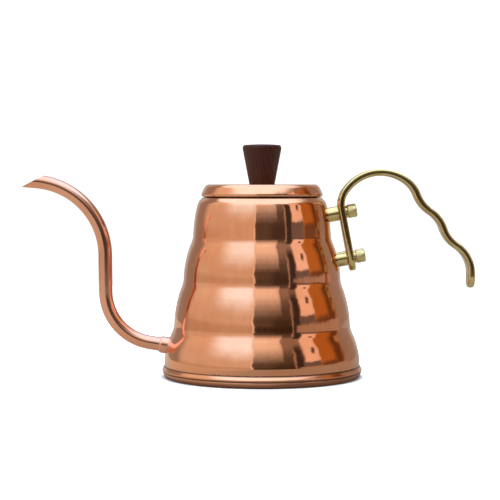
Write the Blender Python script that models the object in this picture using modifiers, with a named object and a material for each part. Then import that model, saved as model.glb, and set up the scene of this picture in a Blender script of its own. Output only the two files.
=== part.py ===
"""Gooseneck pour-over kettle with a four-tier body, a lift-off lid and a strip handle.

Run with:  blender --background --python part.py

Frame: +Z up, origin at the centre of the flat base. The spout points to -X and the
handle to +X. Every size is in millimetres here and becomes metres through MM.
"""

import math

import bmesh
import bpy
from mathutils import Matrix, Vector

MM = 0.001
GAP = 0.3                       # between pieces that rest on or pass through each other
CUT_MARGIN = 1.0                # how far a cutter stands clear of what it cuts

# Smoothness of the turned and swept shapes
BODY_SEGMENTS = 40
SMALL_SEGMENTS = 24
CORNER_STEP = 22.0              # degrees between two points of a turned corner
BEND_STEP = 8.0                 # degrees between two points of a bent tube or strip

# Body: one turned copper shell. Each row is radius, height, corner radius; the outline
# starts inside the neck, climbs over the shoulder and runs down the four tiers.
SHEET = 0.9
NECK_RADIUS = 34.5
NECK_DEPTH = 6.7
SHOULDER_HEIGHT = 116.7
BODY_OUTLINE = [
    (NECK_RADIUS, SHOULDER_HEIGHT - NECK_DEPTH, 0.0),
    (NECK_RADIUS, SHOULDER_HEIGHT, 1.5),
    (38.6, SHOULDER_HEIGHT, 1.2),
    (42.75, 111.5, 18.0),
    (45.0, 89.3, 12.0),
    (50.15, 77.75, 55.0),
    (51.1, 61.8, 12.0),
    (56.5, 47.85, 64.0),
    (57.5, 31.6, 12.0),
    (62.45, 20.9, 45.0),
    (63.5, 12.0, 20.0),
    (63.45, 8.1, 0.0),
]
NECK_CORNERS = 2                # rows of the outline that lie inside the neck
WALL_STEP = 0.05                # steps in which a post's axis is followed to the wall

# Base pan: a flat disc whose flared side ends in the rolled seam bead
BASE_THICKNESS = 1.2
BASE_RADIUS = 62.6
BASE_FILLET = 1.4
FLOOR_RADIUS = 61.0
FLOOR_FILLET = 1.0
SEAM_BEAD_RADIUS = 1.3
SEAM_BEAD_CENTRE = (63.7, 6.5)
SEAM_BEAD_ARC = (180.0, -60.0)  # degrees, from the floor's side over the top to the groove
GROOVE = [(0.2, -1.5), (0.6, -2.0)]     # corners under the bead, from its centre

# Spout: one tube of constant diameter, bent in the XZ plane. Each row is bend radius
# (None for a straight length) and length, or bend angle with + turning anticlockwise.
SPOUT_RADIUS = 4.5
SPOUT_WALL = 0.7
SPOUT_ROOT = (-59.5, 19.8)
SPOUT_HEADING = 170.5
SPOUT_BENDS = [(None, 14.1), (34.0, -80.0), (None, 23.7), (48.5, 84.5), (None, 26.0)]
SPOUT_RINGS = 6                 # bevel resolution of the tube
SPOUT_LIP = (-157.5, 122.75)
SPOUT_LIP_ANGLE = 26.8          # slope of the slanted mouth, rising toward the body
MOUTH_CUT = (60.0, 30.0, 20.0)
SPOUT_HOLE_START = (4.0, -0.7)  # from the tube's root to a point inside the shell
SPOUT_HOLE_LENGTH = 12.0
FERRULE_RADIUS = 5.5
FERRULE_CHAMFER = 0.3
FERRULE_LENGTH = 4.4
FERRULE_OVERLAP = 2.0           # length that the saddle cut takes off again
FERRULE_END = 7.4               # distance of the ferrule's free end from the tube's root

# Handle: a flat strip with full-round edges, bent in the XZ plane
STRIP_THICKNESS = 4.4
STRIP_WIDTH = 14.0
STRIP_EDGE_STEPS = 4
STRIP_END_SLACK = 0.02          # how far the round ends' cutter is larger than the end
STRIP_START = (59.2, 69.0)
STRIP_HEADING = 100.8
STRIP_BENDS = [
    (None, 41.0), (15.0, -44.0), (27.8, -93.0), (20.8, -33.0), (21.8, 35.5),
    (22.7, -38.0), (19.7, 39.0), (21.5, -50.0), (33.8, -16.5), (None, 2.8),
]

# Fasteners of the handle: two posts on the wall, two socket-head screws
POST_RADIUS = 4.75
POST_STATIONS = {"upper": 38.5, "lower": 8.8}   # distances along the strip's straight leg
POST_STOCK = 20.0               # length of the bar that a post is cut from
SCREW_RADIUS = 2.5
SCREW_TIP_CHAMFER = 0.6
SCREW_HEAD_RADIUS = 4.3
SCREW_HEAD_LENGTH = 5.8
SCREW_HEAD_CHAMFER = 0.7
SCREW_SEAT_CHAMFER = 0.3
SCREW_SOCKET_RADIUS = 2.3
SCREW_SOCKET_DEPTH = 2.8
SCREW_GRIP = 3.6                # length of shank inside the post
SCREW_BORE_SPARE = 0.5          # depth of the post's bore beyond the shank
LOCK_WASHER_THICKNESS = 1.2
LOCK_WASHER_RADIUS = 4.0
LOCK_WASHER_SPLIT = (0.7, 4.0, 6.0)
LOCK_WASHER_SPLIT_OUT = 3.5
LOCK_WASHER_SPLIT_SLANT = 30.0
RIVET_RADIUS = 3.0              # tenon of the post, passing through the wall
RIVET_LENGTH = 6.0
RIVET_STAND_OUT = 0.9           # length of the tenon that shows inside the backing washer
RIVET_HOLE_INSET = 25.0         # from the strip inward to where the hole's cutter starts
RIVET_HOLE_LENGTH = 20.0
BACKING_RADIUS = 7.0
BACKING_THICKNESS = 1.2
BACKING_SLACK = 0.2             # more room between backing washer and wall
BACKING_RISE = 3.0              # half of the height over which the wall's slope is taken
ROUND_SEGMENTS = 20             # rivets, shanks and their holes

# Lid: a spun cover with a recessed panel, and a skirt ring that drops into the neck
LID_TOP = 125.1
LID_BOTTOM = 117.0
LID_RADIUS = 39.2
LID_SHEET = 0.8
PANEL_DROP = 0.8
LID_HOLE_RADIUS = 2.3
LID_OUTLINE = [
    (LID_HOLE_RADIUS, LID_TOP - PANEL_DROP, 0.0),
    (28.0, LID_TOP - PANEL_DROP, 1.5),
    (29.6, LID_TOP, 1.5),
    (35.6, LID_TOP, 2.5),
    (LID_RADIUS + 0.1, 120.4, 2.5),
    (LID_RADIUS - 0.2, LID_BOTTOM, 0.0),
]
SKIRT_RADIUS = 34.0
SKIRT_BOTTOM = 109.2
SKIRT_SHEET = 0.7
SKIRT_FLANGE_RISE = 1.4         # flange above the cover's lower edge
SKIRT_FLANGE_FILLET = 1.2
SKIRT_FLANGE_SLACK = 0.2
VENT_RADIUS = 1.3
VENT_OFFSET = -21.0
VENT_LENGTH = 8.0

# Knob: a tapered wooden grip with a threaded insert, held by a screw from below
KNOB_TOP = 150.7
KNOB_FOOT_RADIUS = 8.1
KNOB_HEAD_RADIUS = 12.6
KNOB_OUTLINE = [
    (0.0, KNOB_TOP, 0.0),
    (KNOB_HEAD_RADIUS - 0.3, KNOB_TOP, 1.6),
    (KNOB_HEAD_RADIUS, KNOB_TOP - 2.4, 1.5),
    (KNOB_FOOT_RADIUS, LID_TOP - PANEL_DROP + GAP, 0.5),
    (0.0, LID_TOP - PANEL_DROP + GAP, 0.0),
]
INSERT_RADIUS = 3.5
INSERT_LENGTH = 12.0
KNOB_SCREW_RADIUS = 2.0
KNOB_SCREW_REACH = 10.0
KNOB_SCREW_HEAD_RADIUS = 4.0
KNOB_SCREW_HEAD_LENGTH = 2.4
KNOB_SCREW_HEAD_FILLET = 1.0
KNOB_SCREW_TIP_CHAMFER = 0.4
CROSS_SLOT = (4.4, 0.9, 2.4)
KNOB_WASHER_RADIUS = 6.0
KNOB_WASHER_THICKNESS = 1.0

# Name: (linear colour, metallic, roughness)
FINISHES = {
    "copper": ((0.80, 0.38, 0.24), 1.0, 0.16),
    "brass": ((0.62, 0.47, 0.22), 1.0, 0.22),
    "wood": ((0.085, 0.030, 0.020), 0.0, 0.42),
    "steel": ((0.56, 0.56, 0.55), 1.0, 0.30),
}


# ---------------------------------------------------------------- scene helpers

def clear_scene():
    """Remove every object that the start-up file holds."""
    for obj in list(bpy.data.objects):
        bpy.data.objects.remove(obj, do_unlink=True)


def make_collection(name):
    """Return a new collection linked to the scene."""
    collection = bpy.data.collections.new(name)
    bpy.context.scene.collection.children.link(collection)
    return collection


def make_material(name, finish):
    """Return a Principled material of one of the FINISHES."""
    colour, metallic, roughness = FINISHES[finish]
    material = bpy.data.materials.new(name)
    material.use_nodes = True
    shader = material.node_tree.nodes["Principled BSDF"]
    shader.inputs["Base Color"].default_value = (*colour, 1.0)
    shader.inputs["Metallic"].default_value = metallic
    shader.inputs["Roughness"].default_value = roughness
    return material


def add_object(name, data, collection):
    """Link a new object that holds the given mesh or curve."""
    obj = bpy.data.objects.new(name, data)
    collection.objects.link(obj)
    return obj


def finish_part(obj, finish, parent=None):
    """Give a part its material and, on the lid, its parent empty."""
    obj.data.materials.clear()
    obj.data.materials.append(make_material(obj.name, finish))
    if parent is not None:
        obj.parent = parent
        obj.matrix_parent_inverse = parent.matrix_world.inverted()


# ---------------------------------------------------------------- outlines

def arc_points(centre, radius, start, end, step=CORNER_STEP):
    """Points of an arc in degrees, both ends included."""
    steps = max(2, round(abs(end - start) / step))
    angles = [math.radians(start + (end - start) * i / steps) for i in range(steps + 1)]
    return [(centre[0] + radius * math.cos(a), centre[1] + radius * math.sin(a)) for a in angles]


def rounded(outline):
    """Replace each corner of an open outline by an arc of the corner's own radius."""
    points = [outline[0][:2]]
    for before, corner, after in zip(outline, outline[1:], outline[2:]):
        if not corner[2]:
            points.append(corner[:2])
            continue
        here = Vector(corner[:2])
        back = (Vector(before[:2]) - here).normalized()
        ahead = (Vector(after[:2]) - here).normalized()
        half = back.angle(ahead) / 2
        centre = here + (back + ahead).normalized() * (corner[2] / math.sin(half))
        first = here + back * (corner[2] / math.tan(half)) - centre
        last = here + ahead * (corner[2] / math.tan(half)) - centre
        sweep = math.degrees(first.angle_signed(last)) * -1
        start = math.degrees(math.atan2(first.y, first.x))
        points.extend(arc_points(centre, corner[2], start, start + sweep))
    points.append(outline[-1][:2])
    return points


def bent_path(start, heading, bends):
    """Points and final heading of a path of straight lengths and circular bends."""
    point = Vector(start)
    points = [tuple(point)]
    for radius, amount in bends:
        if radius is None:
            angle = math.radians(heading)
            point = point + amount * Vector((math.cos(angle), math.sin(angle)))
            points.append(tuple(point))
            continue
        side = math.copysign(90.0, amount)
        angle = math.radians(heading + side)
        centre = point + radius * Vector((math.cos(angle), math.sin(angle)))
        first = heading + side + 180.0
        arc = arc_points(centre, radius, first, first + amount, BEND_STEP)
        points.extend(arc[1:])
        point = Vector(arc[-1])
        heading += amount
    return points, heading


def direction(heading):
    """Unit vector in the XZ plane for a heading in degrees."""
    angle = math.radians(heading)
    return Vector((math.cos(angle), 0.0, math.sin(angle)))


# ---------------------------------------------------------------- solids

def lathe(name, outline, collection, segments, closed):
    """Turn an outline of (radius, height) points about the object's own Z axis."""
    mesh = bpy.data.meshes.new(name)
    shape = bmesh.new()
    verts = [shape.verts.new((r * MM, 0.0, z * MM)) for r, z in outline]
    pairs = list(zip(verts, verts[1:]))
    if closed:
        pairs.append((verts[-1], verts[0]))
    for pair in pairs:
        shape.edges.new(pair)
    shape.to_mesh(mesh)
    shape.free()
    obj = add_object(name, mesh, collection)
    screw = obj.modifiers.new("Turn", "SCREW")
    screw.steps = segments
    screw.render_steps = segments
    screw.use_merge_vertices = True
    screw.merge_threshold = 0.00001
    return obj


def add_sheet(obj, thickness):
    """Thicken a turned surface inward."""
    solidify = obj.modifiers.new("Sheet", "SOLIDIFY")
    solidify.thickness = thickness * MM
    solidify.offset = -1.0
    solidify.use_even_offset = True


def cylinder(name, radius, length, matrix, collection, segments=SMALL_SEGMENTS):
    """Round bar from the matrix's origin along its Z axis."""
    mesh = bpy.data.meshes.new(name)
    shape = bmesh.new()
    bmesh.ops.create_cone(
        shape, cap_ends=True, segments=segments, radius1=radius * MM, radius2=radius * MM,
        depth=length * MM, matrix=Matrix.Translation((0.0, 0.0, length * MM / 2)))
    shape.to_mesh(mesh)
    shape.free()
    obj = add_object(name, mesh, collection)
    obj.matrix_world = matrix
    return obj


def box(name, size, matrix, collection):
    """Box centred on the matrix's origin."""
    mesh = bpy.data.meshes.new(name)
    shape = bmesh.new()
    bmesh.ops.create_cube(shape, size=1.0, matrix=Matrix.Diagonal((*(Vector(size) * MM), 1.0)))
    shape.to_mesh(mesh)
    shape.free()
    obj = add_object(name, mesh, collection)
    obj.matrix_world = matrix
    return obj


def cut(obj, cutter, operation="DIFFERENCE"):
    """Cut a part with a cutter, which is then hidden."""
    cutter.hide_render = True
    cutter.display_type = "WIRE"
    boolean = obj.modifiers.new(cutter.name, "BOOLEAN")
    boolean.operation = operation
    boolean.object = cutter


def path_curve(name, points, collection):
    """Curve through points of the XZ plane."""
    curve = bpy.data.curves.new(name, "CURVE")
    curve.dimensions = "2D"
    spline = curve.splines.new("POLY")
    spline.points.add(len(points) - 1)
    for spot, (x, z) in zip(spline.points, points):
        spot.co = (x * MM, z * MM, 0.0, 1.0)
    obj = add_object(name, curve, collection)
    obj.rotation_euler = (math.radians(90.0), 0.0, 0.0)
    return obj


def curve_to_mesh(obj, collection):
    """Replace a curve object by a mesh object with welded caps."""
    bpy.context.view_layer.update()
    evaluated = obj.evaluated_get(bpy.context.evaluated_depsgraph_get())
    mesh = bpy.data.meshes.new_from_object(evaluated)
    shape = bmesh.new()
    shape.from_mesh(mesh)
    bmesh.ops.remove_doubles(shape, verts=shape.verts, dist=0.00001)
    bmesh.ops.recalc_face_normals(shape, faces=shape.faces)
    shape.to_mesh(mesh)
    shape.free()
    name = obj.name
    matrix = obj.matrix_world.copy()
    bpy.data.objects.remove(obj, do_unlink=True)
    solid = add_object(name, mesh, collection)
    solid.matrix_world = matrix
    return solid


def frame_along(point, axis):
    """Matrix at a point in millimetres whose Z axis follows the given direction."""
    turn = axis.to_track_quat("Z", "Y").to_matrix().to_4x4()
    return Matrix.Translation(Vector(point) * MM) @ turn


# ---------------------------------------------------------------- body and base

def body_solid(name, collection):
    """Cutter: the body's filled outline, larger than the body by the gap."""
    skin = [(r + GAP, z) for r, z in rounded(BODY_OUTLINE[NECK_CORNERS:])]
    outline = [(0.0, skin[0][1])] + skin + [(0.0, skin[-1][1])]
    return lathe(name, outline, collection, BODY_SEGMENTS, closed=False)


def build_body(parts, cutters):
    """Four-tier shell with its neck turned in, the spout hole and two rivet holes."""
    body = lathe("body_shell", rounded(BODY_OUTLINE), parts, BODY_SEGMENTS, closed=False)
    add_sheet(body, SHEET)
    root = (SPOUT_ROOT[0] + SPOUT_HOLE_START[0], 0.0, SPOUT_ROOT[1] + SPOUT_HOLE_START[1])
    hole = cylinder("spout_hole", SPOUT_RADIUS + GAP, SPOUT_HOLE_LENGTH,
                    frame_along(root, direction(SPOUT_HEADING)), cutters)
    cut(body, hole)
    for place in POST_STATIONS:
        start = strip_station(place) - leg_normal() * RIVET_HOLE_INSET
        cut(body, cylinder(f"{place}_rivet_hole", RIVET_RADIUS + GAP, RIVET_HOLE_LENGTH,
                           frame_along(start, leg_normal()), cutters, segments=ROUND_SEGMENTS))
    finish_part(body, "copper")


def build_base(parts):
    """Flat disc, flared foot band and the seam bead that the shell stands on."""
    bead_r, bead_z = SEAM_BEAD_CENTRE
    floor = rounded([
        (0.0, BASE_THICKNESS, 0.0), (FLOOR_RADIUS, BASE_THICKNESS, FLOOR_FILLET),
        (bead_r - SEAM_BEAD_RADIUS, bead_z, 0.0)])
    bead = arc_points(SEAM_BEAD_CENTRE, SEAM_BEAD_RADIUS, *SEAM_BEAD_ARC)
    groove = [(bead_r + out, bead_z + up, 0.0) for out, up in GROOVE]
    foot = rounded(groove + [(BASE_RADIUS, 0.0, BASE_FILLET), (0.0, 0.0, 0.0)])
    base = lathe("base_pan", floor + bead[1:] + foot, parts, BODY_SEGMENTS, closed=False)
    finish_part(base, "copper")


# ---------------------------------------------------------------- spout

def build_spout(parts, cutters):
    """Gooseneck tube, open at both ends, with a slanted mouth, and its ferrule."""
    points, _ = bent_path(SPOUT_ROOT, SPOUT_HEADING, SPOUT_BENDS)
    path = path_curve("spout_tube", points, parts)
    path.data.dimensions = "3D"
    path.data.bevel_depth = SPOUT_RADIUS * MM
    path.data.bevel_resolution = SPOUT_RINGS
    path.data.use_fill_caps = False
    tube = curve_to_mesh(path, parts)
    add_sheet(tube, SPOUT_WALL)
    slope = Matrix.Rotation(math.radians(-SPOUT_LIP_ANGLE), 4, "Y")
    lip = Matrix.Translation((SPOUT_LIP[0] * MM, 0.0, SPOUT_LIP[1] * MM)) @ slope
    mouth = box("spout_mouth_cut", MOUTH_CUT,
                lip @ Matrix.Translation((0.0, 0.0, MOUTH_CUT[2] / 2 * MM)), cutters)
    cut(tube, mouth)
    finish_part(tube, "copper")
    build_ferrule(parts, cutters)


def build_ferrule(parts, cutters):
    """Ring around the tube, cut to the curve of the wall that it sits against."""
    inner = SPOUT_RADIUS + GAP
    length = FERRULE_LENGTH + FERRULE_OVERLAP
    ring = [
        (inner, length), (FERRULE_RADIUS - FERRULE_CHAMFER, length),
        (FERRULE_RADIUS, length - FERRULE_CHAMFER), (FERRULE_RADIUS, 0.0), (inner, 0.0)]
    ferrule = lathe("spout_ferrule", ring, parts, SMALL_SEGMENTS, closed=True)
    axis = direction(SPOUT_HEADING)
    start = Vector((SPOUT_ROOT[0], 0.0, SPOUT_ROOT[1])) + axis * (FERRULE_END - length)
    ferrule.matrix_world = frame_along(start, axis)
    cut(ferrule, body_solid("ferrule_saddle", cutters))
    finish_part(ferrule, "copper")


# ---------------------------------------------------------------- handle

def leg_normal():
    """Direction in which the posts and screws point, square to the strip's leg."""
    return direction(STRIP_HEADING - 90.0)


def strip_station(place):
    """Point on the strip's centre line where a post meets it, in millimetres."""
    start = Vector((STRIP_START[0], 0.0, STRIP_START[1]))
    return start + direction(STRIP_HEADING) * POST_STATIONS[place]


def strip_section(collection):
    """Cross-section of the strip: flat faces and full-round edges."""
    radius = STRIP_THICKNESS / 2
    flat = STRIP_WIDTH / 2 - radius
    outline = []
    for side in (1, -1):
        for i in range(STRIP_EDGE_STEPS + 1):
            angle = math.radians(-90.0 + 180.0 * i / STRIP_EDGE_STEPS)
            outline.append((side * radius * math.sin(angle), side * (flat + radius * math.cos(angle))))
    curve = bpy.data.curves.new("strip_section", "CURVE")
    curve.dimensions = "2D"
    spline = curve.splines.new("POLY")
    spline.points.add(len(outline) - 1)
    for spot, (x, y) in zip(spline.points, outline):
        spot.co = (x * MM, y * MM, 0.0, 1.0)
    spline.use_cyclic_u = True
    return add_object("strip_section", curve, collection)


def round_end(strip, name, end, heading, cutters):
    """Round one end of the strip to a half circle of the strip's own width."""
    half = STRIP_WIDTH / 2
    inward = direction(heading)
    centre = Vector((end[0], 0.0, end[1])) + inward * half
    square = direction(heading + 90.0)
    turn = Matrix((inward, Vector((0.0, 1.0, 0.0)), square)).transposed().to_4x4()
    size = (half + CUT_MARGIN, STRIP_WIDTH + 2 * CUT_MARGIN, STRIP_THICKNESS + 2 * CUT_MARGIN)
    middle = centre - inward * (half + CUT_MARGIN) / 2
    corner = box(name, size, Matrix.Translation(middle * MM) @ turn, cutters)
    bar_length = STRIP_THICKNESS + 4 * CUT_MARGIN
    bar = cylinder(f"{name}_bar", half + STRIP_END_SLACK, bar_length,
                   frame_along(centre - square * bar_length / 2, square), cutters)
    cut(corner, bar)
    cut(strip, corner)


def build_handle(parts, cutters):
    """Bent strip with round ends and two clearance holes."""
    points, heading = bent_path(STRIP_START, STRIP_HEADING, STRIP_BENDS)
    path = path_curve("handle_strip", points, parts)
    section = strip_section(cutters)
    path.data.bevel_mode = "OBJECT"
    path.data.bevel_object = section
    path.data.use_fill_caps = True
    strip = curve_to_mesh(path, parts)
    bpy.data.objects.remove(section, do_unlink=True)
    round_end(strip, "leg_end", points[0], STRIP_HEADING, cutters)
    round_end(strip, "grip_end", points[-1], heading + 180.0, cutters)
    for place in POST_STATIONS:
        start = strip_station(place) - leg_normal() * STRIP_THICKNESS
        cut(strip, cylinder(f"{place}_strip_hole", SCREW_RADIUS + GAP, 2 * STRIP_THICKNESS,
                            frame_along(start, leg_normal()), cutters, segments=ROUND_SEGMENTS))
    finish_part(strip, "brass")


def build_post(place, parts, cutters):
    """Post shaped to the wall, with a tenon through it and a blind screw hole."""
    axis = leg_normal()
    face = strip_station(place) - axis * (STRIP_THICKNESS / 2 + GAP)
    post = cylinder(f"{place}_post", POST_RADIUS, POST_STOCK,
                    frame_along(face - axis * POST_STOCK, axis), parts)
    cut(post, body_solid(f"{place}_post_saddle", cutters))
    inside = SHEET + BACKING_THICKNESS + 2 * GAP + RIVET_STAND_OUT
    tenon = cylinder(f"{place}_tenon", RIVET_RADIUS, RIVET_LENGTH,
                     frame_along(wall_point(place) - axis * inside, axis), cutters,
                     segments=ROUND_SEGMENTS)
    cut(post, tenon, "UNION")
    depth = SCREW_GRIP + SCREW_BORE_SPARE
    bore = cylinder(f"{place}_post_bore", SCREW_RADIUS + GAP, depth + CUT_MARGIN,
                    frame_along(face - axis * depth, axis), cutters, segments=ROUND_SEGMENTS)
    cut(post, bore)
    finish_part(post, "brass")


def wall_point(place):
    """Point where a post's axis meets the outside of the body."""
    axis = leg_normal()
    point = strip_station(place)
    while point.x > wall_radius(point.z):
        point = point - axis * WALL_STEP
    return point


def wall_radius(height):
    """Outer radius of the body at a height, in millimetres."""
    skin = rounded(BODY_OUTLINE[NECK_CORNERS:])
    for (r_top, z_top), (r_low, z_low) in zip(skin, skin[1:]):
        if z_low <= height <= z_top:
            return r_low + (r_top - r_low) * (height - z_low) / (z_top - z_low)
    return skin[-1][0]


def build_backing_washer(place, parts):
    """Washer inside the wall, under the riveted end of the post's tenon."""
    ring = [
        (RIVET_RADIUS + GAP, BACKING_THICKNESS), (BACKING_RADIUS, BACKING_THICKNESS),
        (BACKING_RADIUS, 0.0), (RIVET_RADIUS + GAP, 0.0)]
    washer = lathe(f"{place}_backing_washer", ring, parts, SMALL_SEGMENTS, closed=True)
    washer.matrix_world = backing_frame(place)
    finish_part(washer, "brass")


def backing_frame(place):
    """Frame of a backing washer, lying flat on the inside of the wall."""
    spot = wall_point(place)
    spread = wall_radius(spot.z - BACKING_RISE) - wall_radius(spot.z + BACKING_RISE)
    normal = Vector((2 * BACKING_RISE, 0.0, spread)).normalized()
    sag = wall_radius(spot.z) - math.sqrt(wall_radius(spot.z) ** 2 - BACKING_RADIUS ** 2)
    inset = SHEET + GAP + sag + BACKING_THICKNESS + BACKING_SLACK
    return frame_along(spot - leg_normal() * inset, normal)


def build_screw(place, parts, cutters):
    """Socket-head screw through lock washer and strip into the post."""
    head_base = STRIP_THICKNESS / 2 + LOCK_WASHER_THICKNESS + 2 * GAP
    shank = head_base + STRIP_THICKNESS / 2 + SCREW_GRIP
    outline = [
        (0.0, SCREW_HEAD_LENGTH),
        (SCREW_HEAD_RADIUS - SCREW_HEAD_CHAMFER, SCREW_HEAD_LENGTH),
        (SCREW_HEAD_RADIUS, SCREW_HEAD_LENGTH - SCREW_HEAD_CHAMFER),
        (SCREW_HEAD_RADIUS, SCREW_SEAT_CHAMFER),
        (SCREW_HEAD_RADIUS - SCREW_SEAT_CHAMFER, 0.0),
        (SCREW_RADIUS, 0.0),
        (SCREW_RADIUS, SCREW_TIP_CHAMFER - shank),
        (SCREW_RADIUS - SCREW_TIP_CHAMFER, -shank),
        (0.0, -shank)]
    screw = lathe(f"{place}_screw", outline, parts, SMALL_SEGMENTS, closed=False)
    screw.matrix_world = frame_along(strip_station(place) + leg_normal() * head_base, leg_normal())
    floor = Matrix.Translation((0.0, 0.0, (SCREW_HEAD_LENGTH - SCREW_SOCKET_DEPTH) * MM))
    socket = cylinder(f"{place}_screw_socket", SCREW_SOCKET_RADIUS, SCREW_SOCKET_DEPTH + CUT_MARGIN,
                      screw.matrix_world @ floor, cutters, segments=6)
    cut(screw, socket)
    finish_part(screw, "brass")


def build_lock_washer(place, parts, cutters):
    """Spring ring with its slanted split."""
    ring = [
        (SCREW_RADIUS + GAP, LOCK_WASHER_THICKNESS), (LOCK_WASHER_RADIUS, LOCK_WASHER_THICKNESS),
        (LOCK_WASHER_RADIUS, 0.0), (SCREW_RADIUS + GAP, 0.0)]
    washer = lathe(f"{place}_lock_washer", ring, parts, SMALL_SEGMENTS, closed=True)
    seat = strip_station(place) + leg_normal() * (STRIP_THICKNESS / 2 + GAP)
    washer.matrix_world = frame_along(seat, leg_normal())
    middle = Vector((0.0, -LOCK_WASHER_SPLIT_OUT, LOCK_WASHER_THICKNESS / 2)) * MM
    split = washer.matrix_world @ Matrix.Translation(middle)
    split = split @ Matrix.Rotation(math.radians(LOCK_WASHER_SPLIT_SLANT), 4, "Y")
    cut(washer, box(f"{place}_washer_split", LOCK_WASHER_SPLIT, split, cutters))
    finish_part(washer, "brass")


# ---------------------------------------------------------------- lid and knob

def build_lid_cover(parts, cutters, lid):
    """Spun cover: recessed panel, rounded rim and a short side wall."""
    cover = lathe("lid_cover", rounded(LID_OUTLINE), parts, BODY_SEGMENTS, closed=False)
    add_sheet(cover, LID_SHEET)
    vent = Matrix.Translation((VENT_OFFSET * MM, 0.0, (LID_TOP - VENT_LENGTH / 2) * MM))
    cut(cover, cylinder("vent_hole", VENT_RADIUS, VENT_LENGTH, vent, cutters, segments=ROUND_SEGMENTS))
    finish_part(cover, "copper", lid)


def build_lid_skirt(parts, lid):
    """Ring under the cover: a flange inside its wall and a skirt that fits the neck."""
    flange = LID_BOTTOM + SKIRT_FLANGE_RISE
    outline = [
        (SKIRT_RADIUS - SKIRT_SHEET, SKIRT_BOTTOM, 0.0),
        (SKIRT_RADIUS - SKIRT_SHEET, flange, SKIRT_FLANGE_FILLET),
        (LID_RADIUS - LID_SHEET - 2 * GAP - SKIRT_FLANGE_SLACK, flange, 0.0)]
    skirt = lathe("lid_skirt", rounded(outline), parts, BODY_SEGMENTS, closed=False)
    add_sheet(skirt, SKIRT_SHEET)
    finish_part(skirt, "steel", lid)


def build_knob(parts, cutters, lid):
    """Wooden knob with its threaded insert."""
    seat = LID_TOP - PANEL_DROP + GAP
    knob = lathe("lid_knob", rounded(KNOB_OUTLINE), parts, SMALL_SEGMENTS, closed=False)
    socket = Matrix.Translation((0.0, 0.0, (seat - CUT_MARGIN) * MM))
    cut(knob, cylinder("insert_hole", INSERT_RADIUS + GAP, INSERT_LENGTH + GAP + CUT_MARGIN, socket,
                       cutters))
    finish_part(knob, "wood", lid)
    bore = KNOB_SCREW_RADIUS + GAP
    sleeve = [
        (bore, seat + INSERT_LENGTH), (INSERT_RADIUS, seat + INSERT_LENGTH),
        (INSERT_RADIUS, seat), (bore, seat)]
    finish_part(lathe("knob_insert", sleeve, parts, ROUND_SEGMENTS, closed=True), "brass", lid)


def build_knob_screw(parts, cutters, lid):
    """Washer and cross-slotted screw that hold the knob from below."""
    bore = KNOB_SCREW_RADIUS + GAP
    washer_top = LID_TOP - PANEL_DROP - LID_SHEET - GAP
    washer_low = washer_top - KNOB_WASHER_THICKNESS
    ring = [
        (bore, washer_top), (KNOB_WASHER_RADIUS, washer_top),
        (KNOB_WASHER_RADIUS, washer_low), (bore, washer_low)]
    finish_part(lathe("knob_washer", ring, parts, SMALL_SEGMENTS, closed=True), "steel", lid)

    head_top = washer_low - GAP
    head_low = head_top - KNOB_SCREW_HEAD_LENGTH
    head = rounded([
        (KNOB_SCREW_RADIUS, head_top, 0.0), (KNOB_SCREW_HEAD_RADIUS, head_top, 0.0),
        (KNOB_SCREW_HEAD_RADIUS, head_low, KNOB_SCREW_HEAD_FILLET), (0.0, head_low, 0.0)])
    top = LID_TOP - PANEL_DROP + GAP + KNOB_SCREW_REACH
    shank = [
        (0.0, top), (KNOB_SCREW_RADIUS - KNOB_SCREW_TIP_CHAMFER, top),
        (KNOB_SCREW_RADIUS, top - KNOB_SCREW_TIP_CHAMFER)]
    screw = lathe("knob_screw", shank + head, parts, ROUND_SEGMENTS, closed=False)
    for turn in (0.0, 90.0):
        slot = Matrix.Translation((0.0, 0.0, head_low * MM)) @ Matrix.Rotation(math.radians(turn), 4, "Z")
        cut(screw, box(f"cross_slot_{turn:.0f}", CROSS_SLOT, slot, cutters))
    finish_part(screw, "steel", lid)


def main():
    """Build every part of the kettle."""
    clear_scene()
    parts = make_collection("gooseneck_kettle")
    cutters = make_collection("cutters")
    lid = add_object("lid_lift_axis", None, parts)
    lid.location = (0.0, 0.0, LID_BOTTOM * MM)
    bpy.context.view_layer.update()
    build_body(parts, cutters)
    build_base(parts)
    build_spout(parts, cutters)
    build_handle(parts, cutters)
    for place in POST_STATIONS:
        build_post(place, parts, cutters)
        build_backing_washer(place, parts)
        build_screw(place, parts, cutters)
        build_lock_washer(place, parts, cutters)
    build_lid_cover(parts, cutters, lid)
    build_lid_skirt(parts, lid)
    build_knob(parts, cutters, lid)
    build_knob_screw(parts, cutters, lid)


main()
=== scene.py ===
"""Looks of a gooseneck pour-over kettle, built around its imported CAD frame.

Each sub-assembly is a class that holds its sizes in millimetres, models its pieces with edit-mode
operators and dresses them in procedural finishes. The kettle stands on its base at the origin, with
the spout towards -X and the handle towards +X.
"""

import logging
import math
from dataclasses import dataclass
from enum import Enum
from functools import partialmethod
from typing import Callable, NamedTuple, Sequence

import bmesh
import bpy
from mathutils import Matrix, Vector


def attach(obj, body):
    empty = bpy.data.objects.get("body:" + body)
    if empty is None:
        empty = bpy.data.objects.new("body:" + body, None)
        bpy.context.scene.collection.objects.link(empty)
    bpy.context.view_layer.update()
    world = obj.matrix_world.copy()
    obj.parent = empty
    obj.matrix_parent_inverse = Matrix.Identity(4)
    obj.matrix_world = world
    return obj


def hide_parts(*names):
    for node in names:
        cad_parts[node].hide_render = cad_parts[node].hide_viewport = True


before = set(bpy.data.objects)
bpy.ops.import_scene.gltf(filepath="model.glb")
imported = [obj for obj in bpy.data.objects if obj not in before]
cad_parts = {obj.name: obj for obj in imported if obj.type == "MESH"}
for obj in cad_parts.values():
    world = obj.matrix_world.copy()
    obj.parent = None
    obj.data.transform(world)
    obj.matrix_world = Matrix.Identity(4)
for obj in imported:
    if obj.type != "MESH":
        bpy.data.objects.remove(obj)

LOG = logging.getLogger("kettle")
MM = 0.001
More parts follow.
